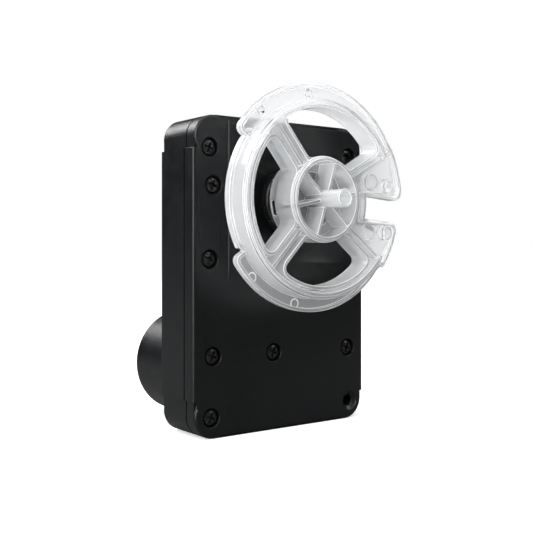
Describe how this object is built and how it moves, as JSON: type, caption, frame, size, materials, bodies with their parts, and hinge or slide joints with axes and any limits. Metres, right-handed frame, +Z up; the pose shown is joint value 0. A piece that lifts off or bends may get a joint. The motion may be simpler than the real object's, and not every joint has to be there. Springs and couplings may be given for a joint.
{
  "type": "gear motor with coupling wheel",
  "caption": "Flat upright geared drive unit: motor in a rear barrel, gear train in a slim black casing, and a clear spoked coupling wheel on the front output shaft.",
  "frame": {"origin": "middle of the casing's bottom face, at half the casing's depth", "axes": "+Z up the casing, +Y from the wheel towards the motor, along the output axis, +X across the casing"},
  "size_m": [0.0747, 0.0862, 0.1157],
  "materials": {
    "black_plastic": "fine-grained satin",
    "flange_plastic": "satin",
    "clear_plastic": "clear, slightly milky",
    "black_screw": "black oxide",
    "zinc_steel": "zinc plated",
    "ground_steel": "ground",
    "bronze": "sintered",
    "can_steel": "drawn and plated",
    "moulded_black": "moulded",
    "ferrite": "sintered ferrite",
    "carbon": "pressed carbon",
    "tinned_brass": "tinned",
    "circuit_green": "solder mask",
    "capacitor_blue": "dipped",
    "cream_nylon": "moulded",
    "red_lead": "extruded",
    "white_lead": "extruded",
    "lamination": "varnished stack",
    "copper": "enamelled copper",
    "brass": "machined",
    "acetal": "moulded",
    "red_plastic": "moulded"
  },
  "bodies": {
    "housing": {"front_cover": "black_plastic", "rear_case": "black_plastic", "motor_cover": "black_plastic", "gear_plate": "zinc_steel", "cover_screws": "black_screw", "plate_screws": "zinc_steel", "first_axle": "ground_steel", "second_axle": "ground_steel", "third_axle": "ground_steel", "front_output_bush": "bronze", "rear_output_bush": "bronze", "motor_can": "can_steel", "motor_end_cap": "moulded_black", "motor_magnets": "ferrite", "front_motor_bush": "bronze", "rear_motor_bush": "bronze", "brushes": "carbon", "motor_terminals": "tinned_brass", "motor_screws": "zinc_steel", "switch_body": "moulded_black", "switch_terminals": "tinned_brass", "switch_screws": "zinc_steel", "circuit_board": "circuit_green", "suppressor_capacitor": "capacitor_blue", "terminal_block": "cream_nylon", "terminal_tabs": "tinned_brass", "motor_leads": "red_lead", "switch_leads": "white_lead"},
    "rotor": {"motor_shaft": "ground_steel", "armature_core": "lamination", "armature_windings": "copper", "commutator": "copper", "motor_pinion": "brass"},
    "first": {"first_gear": "acetal"},
    "second": {"second_gear": "acetal"},
    "third": {"third_gear": "acetal"},
    "output": {"output_gear": "acetal", "output_shaft": "ground_steel", "output_clip": "zinc_steel", "position_cam": "moulded_black", "drive_flange": "flange_plastic", "coupling_wheel": "clear_plastic"},
    "lever": {"switch_lever": "zinc_steel"},
    "plunger": {"switch_plunger": "red_plastic"}
  },
  "joints": [
    {"name": "output_spin", "type": "hinge", "parent": "housing", "child": "output", "pos_m": [0, 0, 0.0775], "axis": [0, 1, 0], "continuous": true},
    {"name": "third_gear_spin", "type": "hinge", "parent": "housing", "child": "third", "pos_m": [0.01491, 0, 0.0562], "axis": [0, 1, 0], "continuous": true},
    {"name": "second_gear_spin", "type": "hinge", "parent": "housing", "child": "second", "pos_m": [-0.00659, 0, 0.05416], "axis": [0, 1, 0], "continuous": true},
    {"name": "first_gear_spin", "type": "hinge", "parent": "housing", "child": "first", "pos_m": [0.0009, 0, 0.03605], "axis": [0, 1, 0], "continuous": true},
    {"name": "rotor_spin", "type": "hinge", "parent": "housing", "child": "rotor", "pos_m": [-0.009, 0, 0.0189], "axis": [0, 1, 0], "continuous": true},
    {"name": "lever_tilt", "type": "hinge", "parent": "housing", "child": "lever", "pos_m": [-0.0056, 0.0042, 0.0876], "axis": [0, -1, 0], "range_deg": [0, 4], "stiffness_Nm_per_rad": 0.005},
    {"name": "plunger_slide", "type": "slide", "parent": "housing", "child": "plunger", "axis": [0, 0, 1], "range_m": [0, 0.00024]}
  ],
  "couplings": [
    {"joint": "third_gear_spin", "follows": "output_spin", "ratio": -3.3333},
    {"joint": "second_gear_spin", "follows": "output_spin", "ratio": 10},
    {"joint": "first_gear_spin", "follows": "output_spin", "ratio": -30},
    {"joint": "rotor_spin", "follows": "output_spin", "ratio": 135},
    {"joint": "plunger_slide", "follows": "lever_tilt", "m_per_rad": 0.0034}
  ]
}
